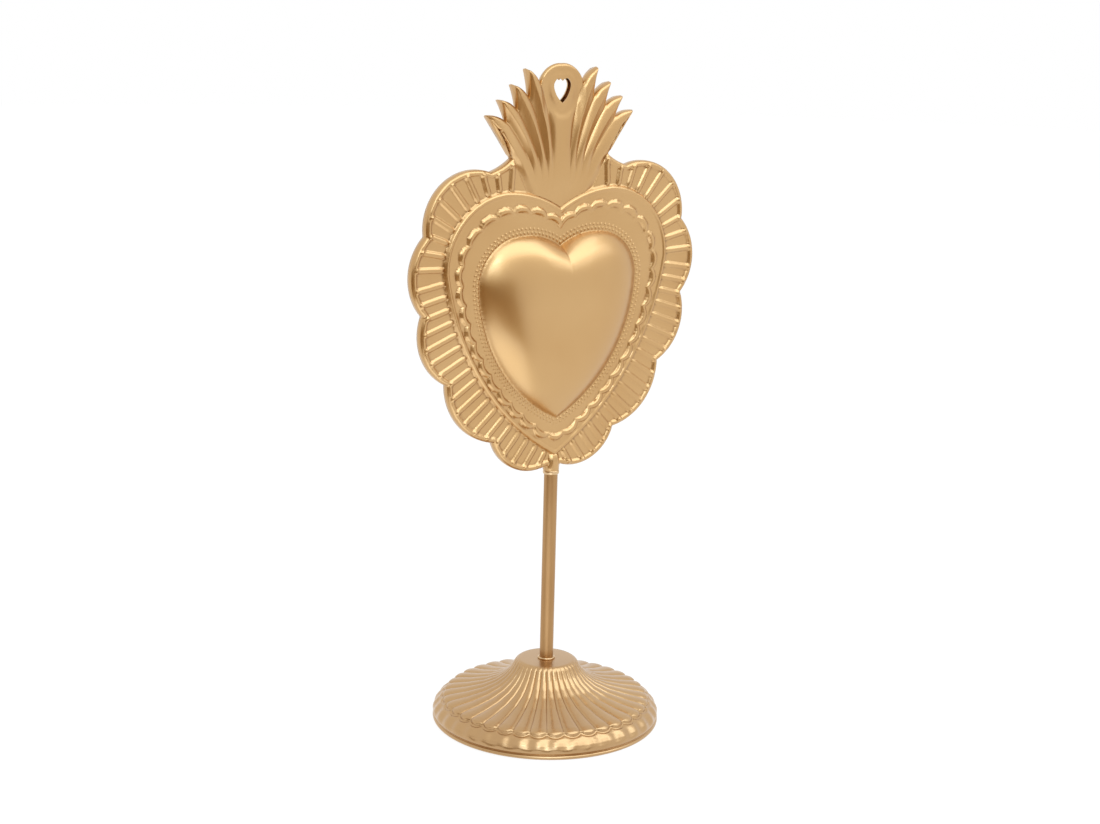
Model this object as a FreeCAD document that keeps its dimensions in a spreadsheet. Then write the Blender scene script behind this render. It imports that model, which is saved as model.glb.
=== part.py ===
"""Pressed tin heart on a stem and a round fluted foot.

Two stamped sheet halves, mirror images of each other, meet rim to rim and hold the flattened top of
a round stem between them. The stem stands in a fluted pressed foot, where a washer, a spring washer
and a nut pull its shoulder down on the foot. A floor plate closes the foot and a felt disc covers it.
Z is up, the heart faces -Y, and the origin is on the resting face under the stem. Millimetres.
"""

import FreeCAD, Part

import math
import os

from FreeCAD import Vector

# Driving dimensions

SIZES = {
    # heart plate
    "plate_bottom_z": 120.0,
    "plate_height": 180.0,
    "plate_half_width": 74.6,
    "sheet": 0.6,
    "seam_gap": 0.02,
    "field_depth": 1.8,
    "crown_depth": 2.5,
    "rim_depth": 2.7,
    "rim_width": 2.3,
    "bead_depth": 3.5,
    "bead_width": 2.4,
    "plateau_depth": 2.7,
    "dome_rise": 11.5,
    "rib_foot_half_width": 1.35,
    "rib_top_half_width": 0.75,
    "rib_proud": 0.95,
    "rib_pitch": 5.4,
    "rib_end_gap": 0.7,
    "flame_root_half_width": 1.5,
    "flame_tip_half_width": 0.9,
    "flame_proud": 0.9,
    "flame_sink": 0.05,
    "flame_root_z": 248.0,
    "flame_tip_inset": 3.2,
    # stem
    "stem_radius": 3.1,
    "stem_entry": 5.5,
    "tongue_thickness": 2.2,
    "tongue_width": 9.0,
    "tongue_length": 16.0,
    "socket_gap": 0.1,
    "socket_drop": 1.4,
    "thread_radius": 2.0,
    "thread_length": 9.0,
    "solder_width": 1.3,
    "solder_height": 1.6,
    "tack_radius": 0.9,
    "tack_height": 1.8,
    # foot
    "foot_top_z": 29.0,
    "foot_radius": 52.3,
    "foot_edge_z": 0.4,
    "foot_sheet": 0.8,
    "flute_relief": 0.55,
    "foot_hole_radius": 2.3,
    "felt_thickness": 1.2,
    "felt_inset": 3.5,
    "floor_thickness": 1.0,
    "floor_hole_radius": 12.0,
    "washer_radius": 5.0,
    "washer_thickness": 1.0,
    "spring_washer_radius": 3.6,
    "spring_washer_thickness": 0.9,
    "spring_washer_split": 0.8,
    "nut_circumradius": 4.04,
    "nut_height": 3.2,
    "thread_gap": 0.05,
    # shared cutting overrun
    "overrun": 2.0,
}

FLUTE_COUNT = 38
FLUTE_TOP_SHARE = 0.28
SOCKET_END_SHARE = 0.35

# Outline of the right half, as shares of plate_half_width and plate_height. The valleys between the
# rim's scallops run from under the crown down to the stem, and each scallop's rise is a share of its chord.
VALLEY_SHARES = [
    (0.342, 0.778),
    (0.477, 0.750),
    (0.906, 0.606),
    (0.919, 0.417),
    (0.758, 0.244),
    (0.435, 0.087),
    (0.050, 0.0085),
]
SCALLOP_RISE_SHARES = [-0.05, 0.28, 0.197, 0.187, 0.183, 0.214]
# Crown flames: tips and the notches inside them, from the lowest flame up to the ring
FLAME_TIP_SHARES = [(0.516, 0.883), (0.431, 0.919), (0.341, 0.954), (0.247, 0.990)]
FLAME_NOTCH_SHARES = [(0.383, 0.868), (0.311, 0.896), (0.228, 0.921), (0.150, 0.952)]
FLAME_ROOT_X_SHARES = [0.185, 0.145, 0.105, 0.065]
FLAME_BACK_RISE_SHARE = 0.10
CROWN_SIDE_RISE_SHARE = -0.07
CROWN_FOOT_SHARES = (0.228, 0.683)
RING_RISE_SHARE = 0.20

# Raised border heart and domed heart: notch, lobe mid, lobe top, shoulder, widest, side and tip
BORDER_SHARES = [
    (0.0, 0.647),
    (0.174, 0.681),
    (0.375, 0.694),
    (0.654, 0.641),
    (0.772, 0.516),
    (0.575, 0.281),
    (0.0, 0.042),
]
DOME_SHARES = [
    (0.0, 0.562),
    (0.120, 0.586),
    (0.275, 0.592),
    (0.470, 0.557),
    (0.552, 0.483),
    (0.405, 0.278),
    (0.0, 0.131),
]
HOLE_SHARES = [
    (0.0, 0.959),
    (0.022, 0.9645),
    (0.035, 0.9645),
    (0.055, 0.957),
    (0.061, 0.945),
    (0.038, 0.922),
    (0.0, 0.906),
]

# The dome's sections: size as a share of its outline, and rise as a share of dome_rise
DOME_SECTION_SHARES = [
    (1.0, 0.0),
    (0.955, 0.20),
    (0.87, 0.43),
    (0.74, 0.66),
    (0.56, 0.85),
    (0.34, 0.965),
    (0.10, 1.0),
]
DOME_CENTRE_SHARE = 0.425

# The foot's outer stations from the top: radius share, height share and flute relief share
FOOT_STATION_SHARES = [
    (0.215, 1.000, 0.0),
    (0.244, 0.985, 0.0),
    (0.268, 0.950, 0.10),
    (0.306, 0.850, 0.80),
    (0.363, 0.728, 1.25),
    (0.459, 0.614, 1.90),
    (0.593, 0.531, 2.90),
    (0.746, 0.476, 2.90),
    (0.870, 0.441, 2.00),
    (0.908, 0.400, 1.10),
    (0.929, 0.338, 0.50),
    (0.971, 0.259, 0.12),
    (0.998, 0.155, 0.0),
    (0.986, 0.105, 0.0),
    (0.981, 0.092, 0.0),
    (1.0, 0.074, 0.0),
]


def named_sheet(doc):
    """Writes every driving dimension to a spreadsheet cell with its name as alias."""
    sheet = doc.addObject("Spreadsheet::Sheet", "sizes")
    for row, (name, value) in enumerate(SIZES.items(), start=1):
        sheet.set(f"A{row}", name)
        sheet.set(f"B{row}", str(value))
        sheet.setAlias(f"B{row}", name)
    doc.recompute()
    return sheet


def size_of(name):
    """Value of one named size; a leading minus gives its negative."""
    return -size_of(name[1:]) if name.startswith("-") else float(SHEET.get(name))


def total(terms):
    """Sum of named sizes."""
    return sum(size_of(name) for name in terms)


def expression(terms):
    """The same sum as a formula on the sheet's cells."""
    signed = [f"-sizes.{name[1:]}" if name.startswith("-") else f"+sizes.{name}" for name in terms]
    return " ".join(signed).lstrip("+")


def bind(thing, path, *terms):
    """Ties a property to a sum of named sizes."""
    thing.setExpression(path, expression(terms))


def origin_plane(body, role):
    return next(item for item in body.Origin.OriginFeatures if item.Role == role)


def revolved_body(label, profile):
    """Body turned about Z from a closed profile of (radius terms, height terms) corners."""
    body = DOC.addObject("PartDesign::Body", label)
    sketch = body.newObject("Sketcher::SketchObject", label + "_profile")
    sketch.AttachmentSupport = (origin_plane(body, "XZ_Plane"), [""])
    sketch.MapMode = "FlatFace"
    points = [Vector(total(radius), total(height), 0) for radius, height in profile]
    for here, there in zip(points, points[1:] + points[:1]):
        sketch.addGeometry(Part.LineSegment(here, there), False)
    count = len(profile)
    for index in range(count):
        sketch.addConstraint(constraint("Coincident", index, 2, (index + 1) % count, 1))
    for index, (radius, height) in enumerate(profile):
        for kind, terms, axis in (("DistanceX", radius, -2), ("DistanceY", height, -1)):
            if terms:
                name = f"{kind}_{index}"
                number = sketch.addConstraint(constraint(kind, -1, 1, index, 1, total(terms)))
                sketch.renameConstraint(number, name)
                sketch.setExpression("Constraints." + name, expression(terms))
            else:
                sketch.addConstraint(constraint("PointOnObject", index, 1, axis))
    turn = body.newObject("PartDesign::Revolution", label + "_turn")
    turn.Profile = sketch
    turn.ReferenceAxis = (sketch, ["V_Axis"])
    turn.Angle = 360.0
    body.Tip = turn
    DOC.recompute()
    return body


def constraint(*parts):
    import Sketcher

    return Sketcher.Constraint(*parts)


def cylinder(label, radius, height, base):
    """Upright cylinder whose radius, height and base height are sums of named sizes."""
    solid = DOC.addObject("Part::Cylinder", label)
    bind(solid, "Radius", *radius)
    bind(solid, "Height", *height)
    if base:
        bind(solid, "Placement.Base.z", *base)
    return solid


def cut(label, base, tool):
    result = DOC.addObject("Part::Cut", label)
    result.Base = base
    result.Tool = tool
    return result


def sheet_feature(label, shape):
    """Sub-part whose shape is worked out from the sheet's sizes."""
    feature = DOC.addObject("Part::Feature", label)
    feature.Shape = shape
    feature.Placement = FreeCAD.Placement()
    return feature


# Points and curves of the plate, in its own plane


def plate_point(share, y=0.0):
    """Point of the plate's plane from its shares."""
    x_share, z_share = share
    height = size_of("plate_bottom_z") + z_share * size_of("plate_height")
    return Vector(x_share * size_of("plate_half_width"), y, height)


def mirrored(point):
    return Vector(-point.x, point.y, point.z)


def risen_middle(start, end, rise_share):
    """Middle of an arc from start to end that rises to the right of the way it runs."""
    chord = end - start
    side = Vector(chord.z, 0, -chord.x)
    return (start + end) * 0.5 + side * rise_share


def arc_edge(start, middle, end):
    return Part.Arc(start, middle, end).toShape()


def outline_half():
    """(start, middle or None, end) pieces of the right half's outline, from the stem up to the ring."""
    valleys = [plate_point(share) for share in reversed(VALLEY_SHARES)]
    rises = list(reversed(SCALLOP_RISE_SHARES))
    pieces = [(a, risen_middle(a, b, rise), b) for a, b, rise in zip(valleys, valleys[1:], rises)]
    tips = [plate_point(share) for share in FLAME_TIP_SHARES]
    notches = [plate_point(share) for share in FLAME_NOTCH_SHARES]
    here = valleys[-1]
    for number, (tip, notch) in enumerate(zip(tips, notches)):
        side_rise = CROWN_SIDE_RISE_SHARE if number == 0 else CROWN_SIDE_RISE_SHARE * 0.5
        pieces.append((here, risen_middle(here, tip, side_rise), tip))
        pieces.append((tip, risen_middle(tip, notch, FLAME_BACK_RISE_SHARE), notch))
        here = notch
    top = plate_point((0.0, 1.0))
    pieces.append((here, risen_middle(here, top, RING_RISE_SHARE), top))
    return pieces


def closed_wire(right_half):
    """Closed symmetric wire from the pieces of its right half, which runs from the axis to the axis."""
    edges = []
    first, last = right_half[0][0], right_half[-1][2]
    for start, middle, end in right_half:
        edges.append(arc_edge(start, middle, end))
    if last.x:
        edges.append(Part.LineSegment(last, mirrored(last)).toShape())
    for start, middle, end in reversed(right_half):
        edges.append(arc_edge(mirrored(end), mirrored(middle), mirrored(start)))
    if first.x:
        edges.append(Part.LineSegment(mirrored(first), first).toShape())
    return Part.Wire(edges)


def heart_half(shares):
    """Three arcs of a heart's right half, from its notch to its tip."""
    notch, lobe, top, shoulder, widest, side, tip = [plate_point(share) for share in shares]
    return [(notch, lobe, top), (top, shoulder, widest), (widest, side, tip)]


def prism(wire, shallow, deep):
    """Solid of the wire's area from one depth to another in front of the parting plane."""
    face = Part.Face(wire)
    face.translate(Vector(0, -shallow, 0))
    return face.extrude(Vector(0, shallow - deep, 0))


def inset(wire, distance):
    """Wire drawn in by a distance, or let out where it is negative."""
    return wire.makeOffset2D(-distance, 0, False, False)


# Reliefs of the pressed half


def sampled(right_half, step_count=240):
    """Points along the arcs of a half outline."""
    points = []
    for start, middle, end in right_half:
        curve = Part.Arc(start, middle, end)
        first, last = curve.FirstParameter, curve.LastParameter
        points += [curve.value(first + (last - first) * k / step_count) for k in range(step_count)]
    return points + [right_half[-1][2]]


def ray_length(start, direction, loop):
    """Distance along a direction to the first crossing of a chain of points."""
    best = None
    for a, b in zip(loop, loop[1:]):
        run = b - a
        cross = direction.x * run.z - direction.z * run.x
        if not cross:
            continue
        offset = a - start
        along = (offset.x * run.z - offset.z * run.x) / cross
        share = (offset.x * direction.z - offset.z * direction.x) / cross
        if 0 <= share <= 1 and along > 0 and (best is None or along < best):
            best = along
    return best


def ridge_between(start, end, foot_half_width, top_half_width, top_depth):
    """Flat-topped ridge with sloping sides from one point of the plate to another, rooted in the sheet."""
    way = end - start
    way.normalize()
    side = Vector(way.z, 0, -way.x)
    root = size_of("field_depth") / 2
    corners = [(foot_half_width, root), (foot_half_width, size_of("field_depth")), (top_half_width, top_depth)]
    corners += [(-across, depth) for across, depth in reversed(corners)]
    points = [start + side * across + Vector(0, -depth, 0) for across, depth in corners]
    return Part.Face(Part.makePolygon(points + points[:1])).extrude(end - start)


def rib_solids():
    """Raised ribs that cross the band between the border bead and the rim."""
    pitch, half_width = size_of("rib_pitch"), size_of("rib_foot_half_width")
    top_depth = size_of("field_depth") + size_of("rib_proud")
    border = sampled(heart_half(BORDER_SHARES))
    rim = sampled(outline_half()[: len(SCALLOP_RISE_SHARES)])
    crown_foot, crown_side = plate_point(CROWN_FOOT_SHARES), plate_point(VALLEY_SHARES[0])
    inner_gap = size_of("bead_width") / 2 + size_of("rib_end_gap")
    outer_gap = size_of("rim_width") + size_of("rib_end_gap")
    top_half_width = size_of("rib_top_half_width")
    ribs, walked = [], 0.0
    for a, b in zip(border, border[1:]):
        run = b - a
        walked += run.Length
        if walked < pitch:
            continue
        walked = 0.0
        normal = Vector(-run.z, 0, run.x) * (1 / run.Length)
        reach = ray_length(b, normal, rim)
        if reach is None:
            continue
        start = b + normal * inner_gap
        end = b + normal * (reach - outer_gap)
        past_crown = start.x > crown_foot.x + half_width * 2 and end.x > crown_side.x + half_width
        past_stem = end.x > size_of("stem_radius") * 2 + half_width
        if past_crown or (past_stem and start.z < crown_foot.z - pitch):
            for here, there in ((start, end), (mirrored(start), mirrored(end))):
                ribs.append(ridge_between(here, there, half_width, top_half_width, top_depth))
    return ribs


def ridge_section(at, side, half_width, top_depth):
    """Five-cornered section of a crown ridge, rooted in the sheet and pointed at its top."""
    low, base = size_of("field_depth") / 2, size_of("crown_depth") - size_of("flame_sink")
    right, left = at + side * half_width, at - side * half_width
    corners = [(right, low), (right, base), (at, top_depth), (left, base), (left, low)]
    points = [Vector(point.x, -depth, point.z) for point, depth in corners]
    return Part.makePolygon(points + points[:1])


def flame_solids():
    """Tapering ridges that run from the crown's root up each flame."""
    crown = size_of("crown_depth")
    root_half_width, tip_half_width = size_of("flame_root_half_width"), size_of("flame_tip_half_width")
    ridges = []
    for tip_share, root_share in zip(FLAME_TIP_SHARES, FLAME_ROOT_X_SHARES):
        root = Vector(root_share * size_of("plate_half_width"), 0, size_of("flame_root_z"))
        way = plate_point(tip_share) - root
        way.normalize()
        tip = plate_point(tip_share) - way * size_of("flame_tip_inset")
        for start, finish, run in ((root, tip, way), (mirrored(root), mirrored(tip), mirrored(way))):
            side = Vector(run.z, 0, -run.x)
            broad = ridge_section(start, side, root_half_width, crown + size_of("flame_proud"))
            narrow = ridge_section(finish, side, tip_half_width, crown + size_of("flame_sink"))
            ridges.append(Part.makeLoft([broad, narrow], True, True))
    return ridges


def dome_solid(draw_in, depth):
    """Pillow-shaped dome over the inner heart, standing on a plane at the given depth."""
    centre = plate_point((0.0, DOME_CENTRE_SHARE))
    half_width = DOME_SHARES[4][0] * size_of("plate_half_width")
    full = (half_width - draw_in) / half_width
    rise = size_of("dome_rise") - draw_in
    wires = []
    for size_share, rise_share in DOME_SECTION_SHARES:
        scale = full * size_share
        lift = Vector(0, -(depth + rise * rise_share), 0)
        half = []
        for piece in heart_half(DOME_SHARES):
            half.append(tuple(centre + (point - centre) * scale + lift for point in piece))
        wires.append(closed_wire(half))
    return Part.makeLoft(wires, True, True)


def crown_block():
    """Region of the plate that belongs to the crown, as a tall prism to cut with."""
    foot, side = plate_point(CROWN_FOOT_SHARES), plate_point(VALLEY_SHARES[0])
    spread = plate_point((0.75, 0.85))
    top = plate_point((0.75, 1.05))
    right = [foot, side, spread, top]
    points = right + [mirrored(point) for point in reversed(right)]
    wire = Part.makePolygon(points + points[:1])
    return prism(wire, -size_of("overrun"), size_of("bead_depth") + size_of("overrun"))


def socket_solid(radius, extra=0.0):
    """Half-round bulge with a tapered end that the stem's top lies in."""
    bottom = size_of("plate_bottom_z") - size_of("socket_drop") - extra
    top = size_of("plate_bottom_z") + size_of("stem_entry")
    shaft = Part.makeCylinder(radius, top - bottom, Vector(0, 0, bottom), Vector(0, 0, 1))
    cap = Part.makeCone(radius, radius * SOCKET_END_SHARE, radius, Vector(0, 0, top), Vector(0, 0, 1))
    return shaft.fuse(cap)


def raised_band(outer, inner, depth):
    """Ring between two wires, from the parting plane to a depth."""
    gap, overrun = size_of("seam_gap") / 2, size_of("overrun")
    return prism(outer, gap, depth).cut(prism(inner, -overrun, depth + overrun))


def front_half():
    """The pressed sheet half that faces -Y."""
    sheet, gap, overrun = size_of("sheet"), size_of("seam_gap") / 2, size_of("overrun")
    half_bead = size_of("bead_width") / 2
    outline = closed_wire(outline_half())
    border = closed_wire(heart_half(BORDER_SHARES))
    crown = crown_block()

    field = prism(outline, gap, size_of("field_depth"))
    rim = raised_band(outline, inset(outline, size_of("rim_width")), size_of("rim_depth")).cut(crown)
    crown_pad = prism(outline, gap, size_of("crown_depth")).common(crown)
    bead = raised_band(inset(border, -half_bead), inset(border, half_bead), size_of("bead_depth"))
    plateau = prism(inset(border, half_bead * 0.5), gap, size_of("plateau_depth"))
    dome = dome_solid(0.0, size_of("plateau_depth") - sheet)
    socket_radius = size_of("stem_radius") + size_of("socket_gap")
    reach = size_of("plate_height") * 2
    ahead = Part.makeBox(reach, reach, reach, Vector(-reach / 2, -reach - gap, 0))
    socket = socket_solid(socket_radius + sheet).common(ahead)
    body = field.multiFuse([rim, crown_pad, bead, plateau, dome, socket] + flame_solids() + rib_solids())

    hollow = prism(inset(outline, sheet), -overrun, size_of("field_depth") - sheet)
    raised_hollow = prism(inset(border, half_bead + sheet), -overrun, size_of("plateau_depth") - sheet)
    dome_hollow = dome_solid(sheet, size_of("plateau_depth") - sheet * 2)
    bore = socket_solid(socket_radius, overrun)
    hole = prism(closed_wire(heart_half(HOLE_SHARES)), -overrun, size_of("bead_depth") + overrun)
    for tool in (hollow, raised_hollow, dome_hollow, bore, hole):
        body = body.cut(tool)
    return body.removeSplitter()


def back_half(front):
    """The same pressing turned to face +Y."""
    return front.mirror(Vector(0, 0, 0), Vector(0, 1, 0))


# Foot


def flower_wire(radius, height, bulge):
    """Ring of flat-topped waves, one per flute, at one height."""
    step = 2 * math.pi / FLUTE_COUNT
    points = []
    for number in range(FLUTE_COUNT):
        for place, reach in ((0.0, 0.0), (FLUTE_TOP_SHARE, 1.0), (1.0 - FLUTE_TOP_SHARE, 1.0)):
            angle = step * (number + place)
            out = radius + bulge * reach
            points.append(Vector(out * math.cos(angle), out * math.sin(angle), height))
    return Part.makePolygon(points + points[:1])


def foot_height(share):
    low, high = size_of("foot_edge_z"), size_of("foot_top_z")
    return low + (high - low) * share


def foot_shell():
    """Fluted bell of sheet, open below, with a flat top that has the stem's hole."""
    sheet, relief = size_of("foot_sheet"), size_of("flute_relief")
    stations = FOOT_STATION_SHARES + [(FOOT_STATION_SHARES[-1][0], 0.0, 0.0)]
    wires = [
        flower_wire(radius * size_of("foot_radius"), foot_height(height), relief * bulge)
        for radius, height, bulge in stations
    ]
    outer = Part.makeLoft(wires, True, True)
    profile = [Vector(0, 0, foot_height(1.0) - sheet)]
    for radius, height, bulge in stations[1:-1]:
        drop = sheet if height > 0.4 else 0.0
        level = foot_height(height) - drop
        if level > profile[-1].z - 0.01:
            continue
        profile.append(Vector(radius * size_of("foot_radius") - sheet, 0, level))
    profile.append(Vector(profile[-1].x, 0, -size_of("overrun")))
    profile.append(Vector(0, 0, -size_of("overrun")))
    hollow = Part.Face(Part.makePolygon(profile + profile[:1])).revolve(Vector(), Vector(0, 0, 1), 360)
    hole = Part.makeCylinder(size_of("foot_hole_radius"), size_of("foot_top_z") * 2)
    return outer.cut(hollow).cut(hole)


def rim_tacks():
    """Solder tacks on the seam between the two halves, one at the height of each scallop's valley."""
    tacks = []
    for share in VALLEY_SHARES[2:6]:
        place = plate_point(share)
        for point, way in ((place, 1), (mirrored(place), -1)):
            radius, half_height = size_of("tack_radius"), size_of("tack_height") / 2
            corners = []
            for step in range(9):
                angle = math.pi * step / 4
                x = point.x + radius * (math.cos(angle) - way)
                corners.append(Vector(x, radius * math.sin(angle), point.z - half_height))
            tacks.append(Part.Face(Part.makePolygon(corners)).extrude(Vector(0, 0, size_of("tack_height"))))
    return Part.makeCompound(tacks)


def build():
    """Makes every sub-part and returns them in order."""
    front = front_half()
    halves = [sheet_feature("heart_front_shell", front), sheet_feature("heart_back_shell", back_half(front))]

    shoulder = ["foot_top_z"]
    thread_end = ["foot_top_z", "-thread_length"]
    stem_top = ["plate_bottom_z", "stem_entry"]
    stem = revolved_body(
        "stem_rod",
        [
            ([], thread_end),
            (["thread_radius"], thread_end),
            (["thread_radius"], shoulder),
            (["stem_radius"], shoulder),
            (["stem_radius"], stem_top),
            ([], stem_top),
        ],
    )
    tongue_sketch = stem.newObject("Sketcher::SketchObject", "stem_tongue_section")
    tongue_sketch.AttachmentSupport = (origin_plane(stem, "XY_Plane"), [""])
    tongue_sketch.MapMode = "FlatFace"
    bind(tongue_sketch, "AttachmentOffset.Base.z", "plate_bottom_z", "stem_entry")
    half_width, half_thickness = size_of("tongue_width") / 2, size_of("tongue_thickness") / 2
    signs = [(-1, -1), (1, -1), (1, 1), (-1, 1)]
    corners = [Vector(a * half_width, b * half_thickness, 0) for a, b in signs]
    for here, there in zip(corners, corners[1:] + corners[:1]):
        tongue_sketch.addGeometry(Part.LineSegment(here, there), False)
    for index in range(4):
        tongue_sketch.addConstraint(constraint("Coincident", index, 2, (index + 1) % 4, 1))
    tongue_sketch.addConstraint(constraint("Horizontal", 0))
    tongue_sketch.addConstraint(constraint("Vertical", 1))
    tongue_sketch.addConstraint(constraint("Horizontal", 2))
    tongue_sketch.addConstraint(constraint("Symmetric", 0, 1, 2, 1, -1, 1))
    for kind, edge, name in (("DistanceX", 0, "tongue_width"), ("DistanceY", 1, "tongue_thickness")):
        number = tongue_sketch.addConstraint(constraint(kind, edge, 1, edge, 2, size_of(name)))
        tongue_sketch.renameConstraint(number, name)
        tongue_sketch.setExpression("Constraints." + name, "sizes." + name)
    tongue = stem.newObject("PartDesign::Pad", "stem_tongue")
    tongue.Profile = tongue_sketch
    bind(tongue, "Length", "tongue_length")
    stem.Tip = tongue
    DOC.recompute()

    neck_low = ["plate_bottom_z", "-socket_drop", "-solder_height"]
    neck_high = ["plate_bottom_z", "-socket_drop"]
    neck = revolved_body(
        "neck_solder_fillet",
        [
            (["stem_radius"], neck_low),
            (["stem_radius", "solder_width"], neck_high),
            (["stem_radius"], neck_high),
        ],
    )
    foot_low = ["foot_top_z"]
    foot_high = ["foot_top_z", "solder_height"]
    foot_ring = revolved_body(
        "foot_solder_ring",
        [
            (["stem_radius"], foot_low),
            (["stem_radius", "solder_width"], foot_low),
            (["stem_radius"], foot_high),
        ],
    )
    tacks = sheet_feature("rim_solder_tacks", rim_tacks())
    foot = sheet_feature("foot_shell", foot_shell())

    floor_low = ["felt_thickness"]
    floor_high = ["felt_thickness", "floor_thickness"]
    floor_edge = ["foot_radius", "-foot_sheet"]
    floor = revolved_body(
        "floor_plate",
        [
            (["floor_hole_radius"], floor_low),
            (floor_edge, floor_low),
            (floor_edge, floor_high),
            (["floor_hole_radius"], floor_high),
        ],
    )
    felt = cylinder("felt_pad", ["foot_radius", "-foot_sheet", "-felt_inset"], ["felt_thickness"], [])

    under_top = ["foot_top_z", "-foot_sheet"]
    washer_base = under_top + ["-washer_thickness"]
    spring_base = washer_base + ["-spring_washer_thickness"]
    nut_base = spring_base + ["-nut_height"]
    bore = ["thread_radius", "thread_gap"]
    washer = cut(
        "plain_washer",
        cylinder("washer_disc", ["washer_radius"], ["washer_thickness"], washer_base),
        cylinder("washer_bore", bore, ["washer_thickness"], washer_base),
    )
    ring = cut(
        "spring_washer_ring",
        cylinder("spring_disc", ["spring_washer_radius"], ["spring_washer_thickness"], spring_base),
        cylinder("spring_bore", bore, ["spring_washer_thickness"], spring_base),
    )
    split = DOC.addObject("Part::Box", "spring_split")
    bind(split, "Length", "spring_washer_radius", "overrun")
    bind(split, "Width", "spring_washer_split")
    bind(split, "Height", "spring_washer_thickness")
    bind(split, "Placement.Base.z", *spring_base)
    spring = cut("spring_washer", ring, split)
    hexagon = DOC.addObject("Part::Prism", "nut_hexagon")
    hexagon.Polygon = 6
    bind(hexagon, "Circumradius", "nut_circumradius")
    bind(hexagon, "Height", "nut_height")
    bind(hexagon, "Placement.Base.z", *nut_base)
    nut = cut("stem_nut", hexagon, cylinder("nut_bore", bore, ["nut_height"], nut_base))
    DOC.recompute()
    return halves + [stem, neck, foot_ring, tacks, foot, floor, felt, washer, spring, nut]


def main():
    subparts = build()
    for item in DOC.Objects:
        if "Invalid" in item.State or "Error" in item.State:
            raise RuntimeError(f"{item.Name} failed: {item.State}")
    os.makedirs("parts", exist_ok=True)
    for item in subparts:
        shape = item.Shape
        if shape.isNull() or not shape.isValid() or shape.Volume <= 0:
            raise RuntimeError(f"{item.Label} has no valid solid")
        shape.exportStep(f"parts/{item.Label}.step")
        print(item.Label, len(shape.Solids), round(shape.Volume, 1))


DOC = FreeCAD.newDocument("tin_heart")
SHEET = named_sheet(DOC)
main()
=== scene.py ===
"""Looks of the pressed tin heart: embossed shells, flame crown, fluted foot, stem and fittings.

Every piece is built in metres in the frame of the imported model. Curves and reliefs are worked out in
millimetres, with x to the side, z up, and depth in front of the seam between the two sheets.
"""

import math

import bmesh
import bpy
import numpy as np
from mathutils import Matrix, Vector, noise


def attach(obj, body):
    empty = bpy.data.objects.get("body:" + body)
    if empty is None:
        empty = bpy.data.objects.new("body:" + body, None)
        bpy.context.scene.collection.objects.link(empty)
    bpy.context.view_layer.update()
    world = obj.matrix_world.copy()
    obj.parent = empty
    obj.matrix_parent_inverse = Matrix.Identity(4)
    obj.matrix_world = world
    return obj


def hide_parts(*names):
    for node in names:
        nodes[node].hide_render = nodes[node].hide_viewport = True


MM = 0.001

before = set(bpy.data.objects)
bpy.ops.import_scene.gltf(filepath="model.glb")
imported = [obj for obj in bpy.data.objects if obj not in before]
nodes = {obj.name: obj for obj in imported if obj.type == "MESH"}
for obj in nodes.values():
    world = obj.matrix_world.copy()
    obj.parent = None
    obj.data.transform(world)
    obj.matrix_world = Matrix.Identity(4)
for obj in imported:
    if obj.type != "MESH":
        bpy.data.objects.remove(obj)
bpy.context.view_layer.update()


# Curves of the plate


def arc(start, middle, end, count):
    """Points on the circle through three points, the last one left out."""
    (ax, az), (bx, bz), (cx, cz) = start, middle, end
    d = 2 * (ax * (bz - cz) + bx * (cz - az) + cx * (az - bz))
    a2, b2, c2 = ax * ax + az * az, bx * bx + bz * bz, cx * cx + cz * cz
    ox = (a2 * (bz - cz) + b2 * (cz - az) + c2 * (az - bz)) / d
    oz = (a2 * (cx - bx) + b2 * (ax - cx) + c2 * (bx - ax)) / d
    radius = math.hypot(ax - ox, az - oz)
    first = math.atan2(az - oz, ax - ox)
    through = math.atan2(bz - oz, bx - ox)
    last = math.atan2(cz - oz, cx - ox)
    turn = (last - first) % (2 * math.pi)
    if (through - first) % (2 * math.pi) > turn:
        turn -= 2 * math.pi
    angles = first + turn * np.arange(count) / count
    return np.stack([ox + radius * np.cos(angles), oz + radius * np.sin(angles)], axis=1)


def risen(start, end, rise_share):
    """Middle of an arc that rises to the right of the way from start to end."""
    (ax, az), (bx, bz) = start, end
    return ((ax + bx) / 2 + (bz - az) * rise_share, (az + bz) / 2 - (bx - ax) * rise_share)


def chain_of_arcs(pieces, count):
    """Arcs joined end to end, each given by its start, middle and end."""
    points = [arc(*piece, count) for piece in pieces]
    return np.concatenate(points + [np.array([pieces[-1][2]])])


def walked_along(line):
    """Length walked along a line at each of its points."""
    return np.concatenate([[0], np.cumsum(np.hypot(*np.diff(line, axis=0).T))])


HALF_WIDTH, BOTTOM, HEIGHT = 74.6, 120.0, 180.0
CENTRE_Z = BOTTOM + 0.425 * HEIGHT
ARC_POINTS = 60


def placed(*shares):
    """Places in millimetres from shares of the plate's half width and height."""
    return [(across * HALF_WIDTH, BOTTOM + up * HEIGHT) for across, up in shares]


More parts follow.
